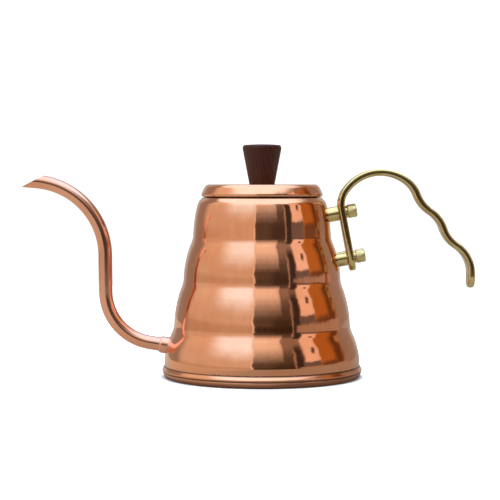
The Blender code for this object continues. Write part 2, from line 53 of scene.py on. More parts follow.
TOUCH = 1e-6
WELD = 0.002
Y_AXIS = Vector((0.0, 1.0, 0.0))
SPOUT_ROOT = Vector((-59.5, 0.0, 19.8))
SPOUT_HEADING = 170.5
Colour = tuple[float, float, float]


class Body(Enum):
    """The bodies that pieces ride on."""

    KETTLE = "kettle"
    LID = "lid"


class Slot(Enum):
    """Names of material slots."""

    COPPER = "copper"
    BRASS = "brass"
    WOOD = "wood"
    STEEL = "steel"


class Post(Enum):
    """The two stand-offs that carry the handle."""

    UPPER = "upper"
    LOWER = "lower"


class Pick(Enum):
    """What an edit-mode selection is made of."""

    POINTS = "VERT"
    EDGES = "EDGE"
    FACES = "FACE"


# ---------------------------------------------------------------- shader arithmetic


class Value:
    """A shader socket that takes part in arithmetic; each operator adds one Math node."""

    def __init__(self, book: "NodeBook", socket: bpy.types.NodeSocket) -> None:
        """Wraps a socket of the book's tree."""
        self.book = book
        self.socket = socket

    def _first(self, operation: str, other: object) -> "Value":
        """An operation with this value before the other."""
        return self.book.add("ShaderNodeMath", {"operation": operation}, {0: self, 1: other})

    def _second(self, operation: str, other: object) -> "Value":
        """An operation with this value after the other."""
        return self.book.add("ShaderNodeMath", {"operation": operation}, {0: other, 1: self})

    def __neg__(self) -> "Value":
        """-self"""
        return self * -1.0

    __add__ = partialmethod(_first, "ADD")
    __sub__ = partialmethod(_first, "SUBTRACT")
    __mul__ = partialmethod(_first, "MULTIPLY")
    __pow__ = partialmethod(_first, "POWER")
    __radd__ = partialmethod(_second, "ADD")
    __rsub__ = partialmethod(_second, "SUBTRACT")
    __rmul__ = partialmethod(_second, "MULTIPLY")


class NodeBook:
    """Adds nodes to one shader tree."""

    def __init__(self, tree: bpy.types.NodeTree) -> None:
        """Takes over a tree and empties it.

        Args:
            tree: The node tree of a material or of the world.
        """
        self.tree = tree
        tree.nodes.clear()

    def add(
        self,
        kind: str,
        settings: dict[str, object] | None = None,
        sockets: dict[int | str, object] | None = None,
        output: int | str = 0,
    ) -> Value:
        """Adds a node, sets it and feeds its sockets.

        Args:
            kind: The node's type name.
            settings: Its properties, set first.
            sockets: Values or links for its inputs, by index or name.
            output: The output that is wanted.

        Returns:
            The wanted output.
        """
        node = self.tree.nodes.new(kind)
        for name, setting in (settings or {}).items():
            setattr(node, name, setting)
        for key, given in (sockets or {}).items():
            if isinstance(given, Value):
                self.tree.links.new(given.socket, node.inputs[key])
            else:
                node.inputs[key].default_value = given
        return Value(self, node.outputs[output]) if node.outputs else Value(self, None)

    def step(self, value: Value, low: float, high: float) -> Value:
        """A smooth step from 0 at low to 1 at high."""
        settings = {"interpolation_type": "SMOOTHSTEP"}
        return self.add("ShaderNodeMapRange", settings, {0: value, 1: low, 2: high})

    def blend(self, factor: object, first: object, second: object, kind: str = "MIX") -> Value:
        """Mixes two colours.

        Args:
            factor: The share of the second colour.
            first: A colour or a link.
            second: A colour or a link.
            kind: The blend type.

        Returns:
            The mixed colour.
        """
        ends = [(*end, 1.0) if isinstance(end, tuple) else end for end in (first, second)]
        settings = {"data_type": "RGBA", "blend_type": kind}
        return self.add("ShaderNodeMix", settings, {0: factor, 6: ends[0], 7: ends[1]}, 2)

    def place(self) -> Value:
        """The point on the piece, in metres."""
        return self.add("ShaderNodeTexCoord", output="Object")

    def parts(self, vector: Value) -> list[Value]:
        """The three numbers of a vector."""
        split = self.add("ShaderNodeSeparateXYZ", None, {0: vector}).socket.node
        return [Value(self, output) for output in split.outputs]

    def vector(self, x: object, y: object, z: object) -> Value:
        """A vector of three numbers."""
        return self.add("ShaderNodeCombineXYZ", None, {0: x, 1: y, 2: z})

    def noise(self, vector: Value, scale: float, detail: float = 2.0, rough: float = 0.5) -> Value:
        """Noise about 0.5, with so many features to a unit."""
        sockets = {"Vector": vector, "Scale": scale, "Detail": detail, "Roughness": rough}
        return self.add("ShaderNodeTexNoise", {"normalize": True}, sockets)

    def patches(self, vector: Value, kind: "Patches") -> Value:
        """A mask of noise patches."""
        return self.step(self.noise(vector, *kind[:3]), kind.low, kind.high)

    def between(self, value: Value, ends: tuple[float, float], soft: float) -> Value:
        """A window between two ends with soft edges."""
        opened = self.step(value, ends[0] - soft, ends[0] + soft)
        return opened * (1.0 - self.step(value, ends[1] - soft, ends[1] + soft))

    def bump(
        self, height: Value, distance: float, strength: float, under: Value | None = None
    ) -> Value:
        """Dents the surface.

        Args:
            height: The relief, from 0 to 1.
            distance: What a height of 1 stands for, in metres.
            strength: The share of the relief that shows.
            under: A bump that this one lies on.

        Returns:
            The bumped normal.
        """
        sockets = {"Height": height, "Distance": distance, "Strength": strength}
        if under:
            sockets["Normal"] = under
        return self.add("ShaderNodeBump", None, sockets)


# ---------------------------------------------------------------- finishes


class Patches(NamedTuple):
    """Patches of noise: features to a metre, detail, roughness, and where they fade in and out."""

    scale: float
    detail: float
    rough: float
    low: float
    high: float


class Grain(NamedTuple):
    """Fine marks: features to a metre, detail, roughness, change of shine, depth and strength."""

    scale: float
    detail: float
    rough: float
    dulling: float
    depth: float
    strength: float


@dataclass(frozen=True)
class Finish:
    """A finish that any piece can wear: a drifting colour, marks on it and a fine grain."""

    name: str
    colour: Colour
    deep: Colour
    roughness: float
    drift: Patches
    marks: Patches
    grain: Grain
    mark_colour: Colour
    mark_share: float = 0.15
    mark_dulling: float = 0.04
    metallic: float = 1.0
    specular: float = 0.5
    coat: float = 0.0
    coat_roughness: float = 0.03
    coat_ior: float = 1.5

    def material(self) -> bpy.types.Material:
        """Makes the finish's material, the first time that it is asked for.

        Returns:
            The material.
        """
        made = bpy.data.materials.get(self.name)
        if made:
            return made
        made = bpy.data.materials.new(self.name)
        made.use_nodes = True
        book = NodeBook(made.node_tree)
        constants = {
            "Metallic": self.metallic, "Specular IOR Level": self.specular,
            "Coat Weight": self.coat, "Coat Roughness": self.coat_roughness,
            "Coat IOR": self.coat_ior,
        }
        shader = book.add("ShaderNodeBsdfPrincipled", None, {**constants, **self.paint(book)})
        book.add("ShaderNodeOutputMaterial", None, {"Surface": shader})
        return made

    def paint(self, book: NodeBook) -> dict[str, object]:
        """What changes over the surface: by default drift, marks and an even grain.

        Args:
            book: The material's tree.

        Returns:
            The shader's inputs.
        """
        place = book.place()
        marks = book.patches(place, self.marks)
        grain = book.noise(place, *self.grain[:3])
        return {
            "Base Color": self.tone(book, place, marks),
            "Roughness": self.shine(marks, grain),
            "Normal": book.bump(grain, self.grain.depth, self.grain.strength),
        }

    def tone(self, book: NodeBook, place: Value, marks: Value) -> Value:
        """The drifting colour with its marks."""
        colour = book.blend(book.patches(place, self.drift), self.colour, self.deep)
        return book.blend(marks * self.mark_share, colour, self.mark_colour)

    def shine(self, marks: Value, grain: Value) -> Value:
        """The roughness, changed by the marks and the grain."""
        return self.roughness + marks * self.mark_dulling + (grain - 0.5) * self.grain.dulling


@dataclass(frozen=True)
class DrawnCopper(Finish):
    """Lacquered copper tube, smudged, with drawing marks too fine to count."""

    drift: Patches = Patches(30.0, 2.0, 0.5, 0.35, 0.7)
    marks: Patches = Patches(110.0, 4.0, 0.6, 0.5, 0.75)
    grain: Grain = Grain(2200.0, 2.0, 0.6, 0.03, 0.000003, 0.3)
    mark_colour: Colour = (0.81, 0.385, 0.25)
    coat: float = 0.35
    coat_roughness: float = 0.04
    coat_ior: float = 1.45


@dataclass(frozen=True)
class PolishedCopper(DrawnCopper):
    """Lacquered copper, spun and buffed: turning lines, a heat tint low down and painted shade in
    the seams.
    """

    drift: Patches = Patches(22.0, 3.0, 0.5, 0.35, 0.7)
    marks: Patches = Patches(70.0, 4.0, 0.6, 0.48, 0.72)
    grain: Grain = Grain(2600.0, 3.0, 0.7, 0.04, 0.000004, 0.35)
    waves: Grain = Grain(42.0, 1.0, 0.5, 0.0, 0.00006, 0.5)
    mark_colour: Colour = (0.82, 0.335, 0.165)
    mark_share: float = 0.10
    tint: Colour = (0.50, 0.17, 0.085)
    tint_height: float = 0.0035
    tint_share: float = 0.7
    tint_dulling: float = 0.15
    # Painted shade in the seams: its dark colour, its share and the roughness it adds.
    seam_shade: Colour = (0.11, 0.045, 0.025)
    seam_shade_share: float = 0.85
    seam_shade_dulling: float = 0.3
    # Painted shade: the heights of the foot groove, the base joint and the lid's edge, darkened in
    # colour where shade falls in the gaps.
    seams: tuple[tuple[float, float], ...] = ((0.0040, 0.0004), (0.0075, 0.0004), (0.1171, 0.0005))

    def paint(self, book: NodeBook) -> dict[str, object]:
        """Drift, smudges, turning lines, the shallow waves of spun sheet, tint and painted shade in
        the seams.

        Args:
            book: The material's tree.

        Returns:
            The shader's inputs.
        """
        place = book.place()
        x, y, z = book.parts(place)
        smudge = book.patches(place, self.marks)
        lines = book.noise(book.vector((x * x + y * y) ** 0.5, 0.0, z), *self.grain[:3])
        waves = book.noise(place, *self.waves[:3])
        low = 1.0 - book.step(z, 0.0, self.tint_height)
        # Painted shade: a dark band in the colour at each seam height.
        seam = sum(
            (book.between(z, (at - reach, at + reach), reach / 2) for at, reach in self.seams), 0.0
        )
        colour = book.blend(low * self.tint_share, self.tone(book, place, smudge), self.tint)
        turned = book.bump(lines, self.grain.depth, self.grain.strength)
        return {
            "Base Color": book.blend(seam * self.seam_shade_share, colour, self.seam_shade),
            "Roughness": self.shine(smudge, lines) + low * self.tint_dulling
            + seam * self.seam_shade_dulling,
            "Normal": book.bump(waves, self.waves.depth, self.waves.strength, turned),
        }


@dataclass(frozen=True)
class SpunSteel(Finish):
    """Satin lining or ring of stainless steel, turned, with faint dried water marks."""

    drift: Patches = Patches(26.0, 3.0, 0.5, 0.3, 0.75)
    marks: Patches = Patches(120.0, 5.0, 0.65, 0.56, 0.68)
    grain: Grain = Grain(1500.0, 4.0, 0.75, 0.16, 0.000012, 0.4)
    mark_colour: Colour = (0.46, 0.40, 0.33)
    mark_share: float = 0.3
    mark_dulling: float = 0.1
    line_start: float = 0.3
    line_share: float = 0.35

    def paint(self, book: NodeBook) -> dict[str, object]:
        """Drifted tone, turning marks and dried water marks.

        Args:
            book: The material's tree.

        Returns:
            The shader's inputs.
        """
        place = book.place()
        x, y, z = book.parts(place)
        lines = book.noise(book.vector((x * x + y * y) ** 0.5, 0.0, z), *self.grain[:3])
        spots = book.patches(place, self.marks)
        colour = book.blend(book.patches(place, self.drift), self.colour, self.deep)
        colour = book.blend((lines - self.line_start) * self.line_share, colour, self.deep)
        return {
            "Base Color": book.blend(spots * self.mark_share, colour, self.mark_colour),
            "Roughness": self.shine(spots, lines),
            "Normal": book.bump(lines, self.grain.depth, self.grain.strength),
        }


@dataclass(frozen=True)
class Brass(Finish):
    """Polished brass with a trace of lacquer, a little tarnish and fine brushing."""

    drift: Patches = Patches(55.0, 3.0, 0.5, 0.35, 0.7)
    marks: Patches = Patches(240.0, 5.0, 0.6, 0.55, 0.72)
    grain: Grain = Grain(1300.0, 3.0, 0.65, 0.10, 0.000006, 0.4)
    mark_colour: Colour = (0.34, 0.24, 0.10)
    mark_share: float = 0.28
    mark_dulling: float = 0.1
    coat: float = 0.15
    coat_roughness: float = 0.08


@dataclass(frozen=True)
class DarkWood(Finish):
    """Oiled dark hardwood, turned with its grain along the knob."""

    drift: Patches = Patches(75.0, 3.0, 0.5, 0.0, 1.0)
    marks: Patches = Patches(2300.0, 2.0, 0.5, 0.62, 0.74)
    grain: Grain = Grain(900.0, 4.0, 0.6, 0.2, 0.00008, 0.35)
    mark_colour: Colour = (0.020, 0.006, 0.004)
    mark_share: float = 0.8
    mark_dulling: float = 0.2
    metallic: float = 0.0
    specular: float = 0.25
    coat: float = 0.1
    coat_roughness: float = 0.25
    pale: Colour = (0.105, 0.026, 0.012)
    streak: tuple[float, float, float] = (0.5, 0.8, 0.55)
    stretch: float = 0.09
    pore_stretch: float = 0.05
    pith: tuple[float, float] = (0.021, -0.013)
    ring_scale: float = 3600.0
    ring_wander: float = 9.0
    ring_contrast: float = 1.6

    def paint(self, book: NodeBook) -> dict[str, object]:
        """Growth rings, streaks and open pores that run lengthwise.

        Args:
            book: The material's tree.

        Returns:
            The shader's inputs.
        """
        x, y, z = book.parts(book.place())
        length = book.vector(x, y, z * self.stretch)
        wander = book.noise(length, *self.drift[:3])
        across = ((x + self.pith[0]) ** 2.0 + (y + self.pith[1]) ** 2.0) ** 0.5
        turn = across * self.ring_scale + wander * self.ring_wander
        rings = book.add("ShaderNodeMath", {"operation": "SINE"}, {0: turn}) * 0.5 + 0.5
        streak = book.noise(length, *self.grain[:3])
        pores = book.patches(book.vector(x, y, z * self.pore_stretch), self.marks)
        low, high, share = self.streak
        colour = book.blend(rings ** self.ring_contrast, self.colour, self.deep)
        colour = book.blend(book.step(streak, low, high) * share, colour, self.pale)
        relief = 1.0 - pores * self.mark_share + streak * self.grain.dulling
        return {
            "Base Color": book.blend(pores * self.mark_share, colour, self.mark_colour),
            "Roughness": self.shine(pores, streak),
            "Normal": book.bump(relief, self.grain.depth, self.grain.strength),
        }


COPPER = PolishedCopper("copper_polished", (0.88, 0.40, 0.225), (0.82, 0.335, 0.165), 0.07)
TUBE_COPPER = DrawnCopper("copper_drawn", (0.87, 0.45, 0.32), (0.81, 0.385, 0.25), 0.15)
LINING = SpunSteel("steel_lining", (0.60, 0.585, 0.565), (0.47, 0.455, 0.435), 0.30)
STEEL = SpunSteel("steel_ring", (0.62, 0.61, 0.60), (0.50, 0.49, 0.48), 0.24)
BRASS = Brass("brass_polished", (0.84, 0.66, 0.31), (0.74, 0.55, 0.22), 0.10)
CAST_BRASS = Brass(
    "brass_satin", (0.84, 0.67, 0.32), (0.70, 0.54, 0.22), 0.22, mark_share=0.4,
    grain=Grain(1300.0, 3.0, 0.65, 0.10, 0.00002, 0.4),
)
WOOD = DarkWood("wood_oiled", (0.074, 0.014, 0.006), (0.046, 0.0095, 0.0045), 0.42)


# ---------------------------------------------------------------- modelling bench


class Corner(NamedTuple):
    """A corner of a turned section: distance from the axis, height and rounding radius."""

    out: float
    height: float
    round: float = 0.0

    @property
    def place(self) -> Vector:
        """The corner in the XZ plane."""
        return Vector((self.out, 0.0, self.height))


class Bend(NamedTuple):
    """One stretch of a bent bar: a straight length, or a turn in degrees about a radius."""

    radius: float | None
    amount: float


def heading_vector(degrees: float) -> Vector:
    """The direction in the XZ plane that rises by so many degrees from +X."""
    return Vector((math.cos(math.radians(degrees)), 0.0, math.sin(math.radians(degrees))))


def stand_along(place: Vector, axis: Vector) -> Matrix:
    """A frame at a place in millimetres whose Z follows an axis in the XZ plane, with Y kept."""
    turn = Matrix((Y_AXIS.cross(axis), Y_AXIS, axis)).transposed().to_4x4()
    return Matrix.Translation(place * MM) @ turn


def raised(height: float, out: float = 0.0) -> Matrix:
    """A frame this far above the origin, and this far out along X, in millimetres."""
    return Matrix.Translation((out * MM, 0.0, height * MM))


class Workpiece:
    """One piece on the bench, shaped with Blender's own operators. Sizes are in millimetres."""

    def __init__(self, name: str) -> None:
        """Takes up the primitive that was just added."""
        self.obj = bpy.context.object
        self.obj.name = self.obj.data.name = name

    # starting shapes

    @classmethod
    def start(
        cls, name: str, primitive: Callable[..., object], where: Matrix, **sizes: object
    ) -> "Workpiece":
        """Adds a primitive and sets it down in a frame.

        Args:
            name: Its name.
            primitive: The operator that adds it.
            where: The frame.
            sizes: The operator's sizes, in metres.

        Returns:
            The piece, in object mode.
        """
        bpy.ops.object.select_all(action="DESELECT")
        primitive(**sizes)
        return cls(name).set_down(where)

    @classmethod
    def point(cls, name: str, place: Vector) -> "Workpiece":
        """Makes a single point, from which a section is drawn.

        Args:
            name: Its name.
            place: The point.

        Returns:
            The piece, in edit mode.
        """
        piece = cls.start(name, bpy.ops.mesh.primitive_plane_add, raised(0.0), size=MM)
        piece.edit()
        bpy.ops.mesh.merge(type="CENTER")
        bpy.ops.transform.translate(value=place * MM)
        return piece

    @classmethod
    def section(
        cls, name: str, corners: Sequence[Corner], where: Matrix, fine: float
    ) -> "Workpiece":
        """A closed outline with rounded corners, set down in a frame.

        Args:
            name: Its name.
            corners: The outline's corners, drawn in the XZ plane.
            where: The frame that carries the outline.
            fine: Degrees between two edges of a rounded corner.

        Returns:
            The outline, in edit mode with all of it selected.
        """
        piece = cls.point(name, corners[0].place)
        piece.draw(corners, closed=True, fine=fine)
        piece.set_down(where)
        piece.edit()
        bpy.ops.mesh.select_all(action="SELECT")
        return piece

    @classmethod
    def bar(
        cls, name: str, radius: float, length: float, sides: int, where: Matrix
    ) -> "Workpiece":
        """A cylinder that stands on a frame's origin."""
        sizes = {"vertices": sides, "radius": radius * MM, "depth": length * MM}
        return cls.start(
            name, bpy.ops.mesh.primitive_cylinder_add, where @ raised(length / 2), **sizes
        )

    @classmethod
    def block(cls, name: str, size: Vector, where: Matrix) -> "Workpiece":
        """A block about a frame's origin."""
        where = where @ Matrix.Diagonal((*(size * MM), 1.0))
        return cls.start(name, bpy.ops.mesh.primitive_cube_add, where, size=1.0)

    @classmethod
    def turned(
        cls, name: str, corners: Sequence[Corner], steps: int, fine: float = 10.0,
        closed: bool = False, longest: float | None = None,
    ) -> "Workpiece":
        """A piece turned about Z from a section drawn corner by corner.

        Args:
            name: Its name.
            corners: The section, from one end to the other.
            steps: How many faces go round.
            fine: Degrees between two edges of a rounded corner.
            closed: Whether the section is a ring that doesn't touch the axis.
            longest: The longest edge that the section may keep, or None.

        Returns:
            The turned piece, in object mode.
        """
        piece = cls.point(name, corners[0].place)
        piece.draw(corners, closed, fine)
        if longest:
            piece.split_long_edges(longest)
        bpy.ops.mesh.select_all(action="SELECT")
        bpy.ops.mesh.spin(steps=steps, angle=math.tau, center=(0.0, 0.0, 0.0), axis=(0.0, 0.0, 1.0))
        return piece.close_up()

    # modes and selection

    def hold(self) -> None:
        """Makes this the one selected and active object, in object mode."""
        if bpy.context.object and bpy.context.object.mode != "OBJECT":
            bpy.ops.object.mode_set(mode="OBJECT")
        bpy.ops.object.select_all(action="DESELECT")
        self.obj.select_set(True)
        bpy.context.view_layer.objects.active = self.obj

    def edit(self) -> None:
        """Goes into edit mode on this piece, picking points."""
        self.hold()
        bpy.ops.object.mode_set(mode="EDIT")
        bpy.ops.mesh.select_mode(type="VERT")

    def set_down(self, where: Matrix) -> "Workpiece":
        """Puts the piece in a frame and applies that to its mesh.

        Args:
            where: The frame.

        Returns:
            The piece.
        """
        self.hold()
        self.obj.matrix_world = where
        bpy.ops.object.transform_apply(location=True, rotation=True, scale=True)
        return self

    def pick(self, test: Callable[[object], bool], kind: Pick = Pick.POINTS) -> int:
        """Selects what passes a test, in edit mode.

        Args:
            test: Takes a bmesh point, edge or face.
            kind: Which of them is picked.

        Returns:
            How many were picked.
        """
        bpy.ops.mesh.select_mode(type=kind.value)
        bpy.ops.mesh.select_all(action="DESELECT")
        mesh = bmesh.from_edit_mesh(self.obj.data)
        items = {Pick.POINTS: mesh.verts, Pick.EDGES: mesh.edges, Pick.FACES: mesh.faces}[kind]
        found = [item for item in items if test(item)]
        for item in found:
            item.select = True
        mesh.select_flush_mode()
        bmesh.update_edit_mesh(self.obj.data)
        return len(found)

    # shaping in edit mode

    def extrude(self, step: Vector) -> None:
        """Extrudes what is selected by a step."""
        bpy.ops.mesh.extrude_region_move(TRANSFORM_OT_translate={"value": step * MM})

    def draw(self, corners: Sequence[Corner], closed: bool, fine: float) -> None:
        """Draws a section on from its first point.

        Args:
            corners: The section's corners.
            closed: Whether the last corner is joined to the first.
            fine: Degrees between two edges of a rounded corner.
        """
        for here, there in zip(corners, corners[1:]):
            self.extrude(there.place - here.place)
        if closed:
            ends = (corners[0].place, corners[-1].place)
            self.pick(lambda point: any(near(point.co, end) for end in ends))
            bpy.ops.mesh.edge_face_add()
        chain = [corners[-1], *corners, corners[0]] if closed else list(corners)
        for before, corner, after in zip(chain, chain[1:], chain[2:]):
            if corner.round:
                self.round_corner(before, corner, after, fine)

    def round_corner(self, before: Corner, corner: Corner, after: Corner, fine: float) -> None:
        """Rounds one corner of the section with a point bevel.

        Args:
            before: The corner before it.
            corner: The corner, with its radius.
            after: The corner after it.
            fine: Degrees between two edges of the rounding.
        """
        turn = (corner.place - before.place).angle(after.place - corner.place)
        self.pick(lambda point: near(point.co, corner.place))
        bpy.ops.mesh.bevel(
            offset=corner.round * math.tan(turn / 2) * MM,
            segments=max(2, math.ceil(math.degrees(turn) / fine)),
            affect="VERTICES",
        )

    def split_long_edges(self, longest: float) -> None:
        """Halves the edges of the section until none is longer than this."""
        while self.pick(lambda edge: edge.calc_length() > longest * MM, Pick.EDGES):
            bpy.ops.mesh.subdivide(number_cuts=1)

    def bend_along(
        self, place: Vector, heading: float, bends: Sequence[Bend], fine: float
    ) -> tuple[Vector, float]:
        """Carries the selected ring along straight lengths and bends.

        Args:
            place: The ring's centre.
            heading: Its direction, in degrees from +X towards +Z.
            bends: The stretches to follow.
            fine: Degrees between two rings of a bend.

        Returns:
            The last ring's centre and heading.
        """
        for bend in bends:
            if bend.radius is None:
                step = heading_vector(heading) * bend.amount
                self.extrude(step)
                place = place + step
                continue
            square = math.copysign(90.0, bend.amount)
            side = heading_vector(heading + square) * bend.radius
            bpy.ops.mesh.spin(
                steps=max(2, math.ceil(abs(bend.amount) / fine)),
                angle=math.radians(bend.amount),
                center=(place + side) * MM,
                axis=(0.0, 1.0, 0.0),
            )
            heading += bend.amount
            place = place + side - heading_vector(heading + square) * bend.radius
        return place, heading

    def close_up(self) -> "Workpiece":
        """Welds seams and poles, turns the faces outwards and leaves edit mode.

        Returns:
            The piece.
        """
        bpy.ops.mesh.select_all(action="SELECT")
        bpy.ops.mesh.remove_doubles(threshold=WELD * MM)
        bpy.ops.mesh.normals_make_consistent(inside=False)
        self.hold()
        return self

    # finishing in object mode

    def modify(self, kind: str, **settings: object) -> "Workpiece":
        """Adds a modifier, sets it and applies it.

        Args:
            kind: The modifier's type.
            settings: Its properties.

        Returns:
            The piece.
        """
        self.hold()
        modifier = self.obj.modifiers.new(kind.lower(), kind)
        for name, setting in settings.items():
            setattr(modifier, name, setting)
        bpy.ops.object.modifier_apply(modifier=modifier.name)
        return self

    def wear(self, *finishes: Finish) -> "Workpiece":
        """Gives the piece its finishes.

        Args:
            finishes: The outer one, and a second for the lining where there is one.

        Returns:
            The piece.
        """
        for finish in finishes:
            self.obj.data.materials.append(finish.material())
        return self

    def thicken(self, sheet: float) -> "Workpiece":
        """Gives a sheet its wall, inwards, in the second finish where there is one."""
        lined = 1 if len(self.obj.data.materials) > 1 else 0
        return self.modify(
            "SOLIDIFY", thickness=sheet * MM, offset=-1.0, use_even_offset=True,
            material_offset=lined,
        )

    def carve(self, tool: "Workpiece") -> "Workpiece":
        """Cuts with a tool and puts the tool away.

        Args:
            tool: The solid to take off.

        Returns:
            The piece.
        """
        self.modify("BOOLEAN", operation="DIFFERENCE", object=tool.obj, solver="EXACT")
        tool.scrap()
        return self

    def drill(self, tool: "Workpiece") -> "Workpiece":
        """Cuts with a tool but keeps the normals of the uncut piece, so that no dent shows.

        Args:
            tool: The solid to take off.

        Returns:
            The piece.
        """
        whole = self.twin(f"{self.obj.name}_whole")
        self.carve(tool).modify(
            "DATA_TRANSFER", object=whole.obj, use_loop_data=True,
            data_types_loops={"CUSTOM_NORMAL"}, loop_mapping="POLYINTERP_NEAREST",
        )
        whole.scrap()
        return self

    def twin(self, name: str) -> "Workpiece":
        """Copies the piece with its mesh.

        Args:
            name: The copy's name.

        Returns:
            The copy.
        """
        self.hold()
        bpy.ops.object.duplicate(linked=False)
        return Workpiece(name)

    def scrap(self) -> None:
        """Removes the piece and its mesh."""
        mesh = self.obj.data
        bpy.data.objects.remove(self.obj, do_unlink=True)
        bpy.data.meshes.remove(mesh)

    def shade(self, angle: float = 32.0) -> "Workpiece":
        """Shades the piece smooth, but for its sharp edges.

        Args:
            angle: Degrees over which an edge stays sharp.

        Returns:
            The piece.
        """
        self.hold()
        bpy.ops.object.shade_smooth_by_angle(angle=math.radians(angle))
        return self

    def install(self, body: Body, slot: Slot, *nodes: str) -> None:
        """Lets the piece ride on its body and stand for its CAD nodes.

        Args:
            body: The body that carries it.
            slot: Not used.
            nodes: The CAD nodes that it replaces.
        """
        self.hold()
        self.obj.select_set(False)
        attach(self.obj, body.value)
        if nodes:
            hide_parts(*nodes)
        LOG.info("%s rides on %s, for %s", self.obj.name, body.value, ", ".join(nodes) or "no node")


def near(spot: Vector, place: Vector) -> bool:
    """Whether a mesh point in metres is at a place in millimetres."""
    return (spot - place * MM).length < TOUCH


# ---------------------------------------------------------------- body


@dataclass
class CopperBody:
    """The four-tier spun shell, lined with steel, with its neck turned in."""

    outline: tuple[Corner, ...] = (
        Corner(34.5, 110.0), Corner(34.5, 116.7, 1.5), Corner(38.6, 116.7, 1.2),
        Corner(41.5, 113.6, 6.0), Corner(43.85, 104.5, 65.0), Corner(45.0, 89.3, 12.0),
        Corner(50.15, 77.75, 55.0), Corner(51.1, 61.8, 12.0), Corner(56.5, 47.85, 64.0),
        Corner(57.5, 31.6, 12.0), Corner(62.45, 20.9, 45.0), Corner(63.5, 12.0, 20.0),
        Corner(63.45, 7.45),
    )
    neck_corners: int = 2
    sheet: float = 0.9
    steps: int = 128
    longest: float = 2.6
    fine: float = 3.0
    sharp: float = 40.0
    spout_hole: float = 4.7
    drill_reach: tuple[float, float] = (-4.0, 12.0)
    drill_sides: int = 64
    saddle_inset: float = 0.15
    skin: bpy.types.Object | None = None

    def build(self) -> None:
        """Spins the shell, lines it and drills it for the spout."""
        shell = Workpiece.turned(
            "kettle_body", self.outline, self.steps, self.fine, longest=self.longest
        )
        shell.modify("SUBSURF", levels=1, render_levels=1)
        shell.wear(COPPER, LINING).thicken(self.sheet).shade(self.sharp)
        self.skin = shell.obj
        axis = heading_vector(SPOUT_HEADING)
        start, length = self.drill_reach
        where = stand_along(SPOUT_ROOT + axis * start, axis)
        tool = Workpiece.bar("spout_drill", self.spout_hole, length, self.drill_sides, where)
        shell.drill(tool).install(Body.KETTLE, Slot.COPPER, "body_shell")

    def solid(self, name: str) -> Workpiece:
        """Turns the body as one solid, a little under its wall, for cutting saddles with.

        Args:
            name: Its name.

        Returns:
            The solid.
        """
        skin = [
            Corner(corner.out - self.saddle_inset, corner.height, corner.round)
            for corner in self.outline[self.neck_corners:]
        ]
        corners = [Corner(0.0, skin[0].height), *skin, Corner(0.0, skin[-1].height)]
        return Workpiece.turned(name, corners, self.steps)

    def meet(self, start: Vector, axis: Vector) -> tuple[Vector, Vector]:
        """Follows a line to the shell.

        Args:
            start: A point of the line, in millimetres.
            axis: The line's direction.

        Returns:
            Where it meets the shell, in millimetres, and the shell's outward normal there.
        """
        _, place, normal, _ = self.skin.ray_cast(start * MM, axis)
        return place / MM, normal if normal.x > 0.0 else -normal


@dataclass
class BasePan:
    """The base: floor, rolled seam bead, flared foot band and the pressed rings underneath."""

    section: tuple[Corner, ...] = (
        Corner(0.0, 1.2), Corner(20.0, 1.2), Corner(61.0, 1.2, 1.6), Corner(62.3, 7.6, 0.3),
        Corner(63.7, 7.6, 0.3), Corner(64.05, 6.9, 0.8), Corner(65.0, 5.4, 0.45),
        Corner(65.0, 4.5, 0.5), Corner(64.1, 4.25, 0.12), Corner(64.1, 3.75, 0.12),
        Corner(64.65, 3.55, 0.35), Corner(63.2, 0.0, 1.6), Corner(57.5, 0.0, 0.6),
        Corner(56.3, 0.7, 0.6), Corner(38.0, 0.7, 0.5), Corner(37.2, 0.35, 0.4),
        Corner(35.0, 0.35, 0.4), Corner(34.2, 0.7, 0.5), Corner(18.0, 0.7, 0.5),
        Corner(17.4, 0.4, 0.4), Corner(15.6, 0.4, 0.4), Corner(15.0, 0.7, 0.5), Corner(0.0, 0.7),
    )
    steps: int = 224
    fine: float = 14.0
    sharp: float = 45.0
    floor_height: float = 1.0
    floor_reach: float = 62.4

    def build(self) -> None:
        """Turns the pan and lines its floor."""
        pan = Workpiece.turned("base", self.section, self.steps, self.fine)
        pan.wear(COPPER, LINING)
        pan.edit()
        pan.pick(self.is_floor, Pick.FACES)
        pan.obj.active_material_index = 1
        bpy.ops.object.material_slot_assign()
        pan.hold()
        pan.shade(self.sharp).install(Body.KETTLE, Slot.COPPER, "base_pan")

    def is_floor(self, face: object) -> bool:
        """Whether a face is part of the floor inside the kettle."""
        middle = face.calc_center_median()
        return middle.xy.length < self.floor_reach * MM and middle.z > self.floor_height * MM


# ---------------------------------------------------------------- spout


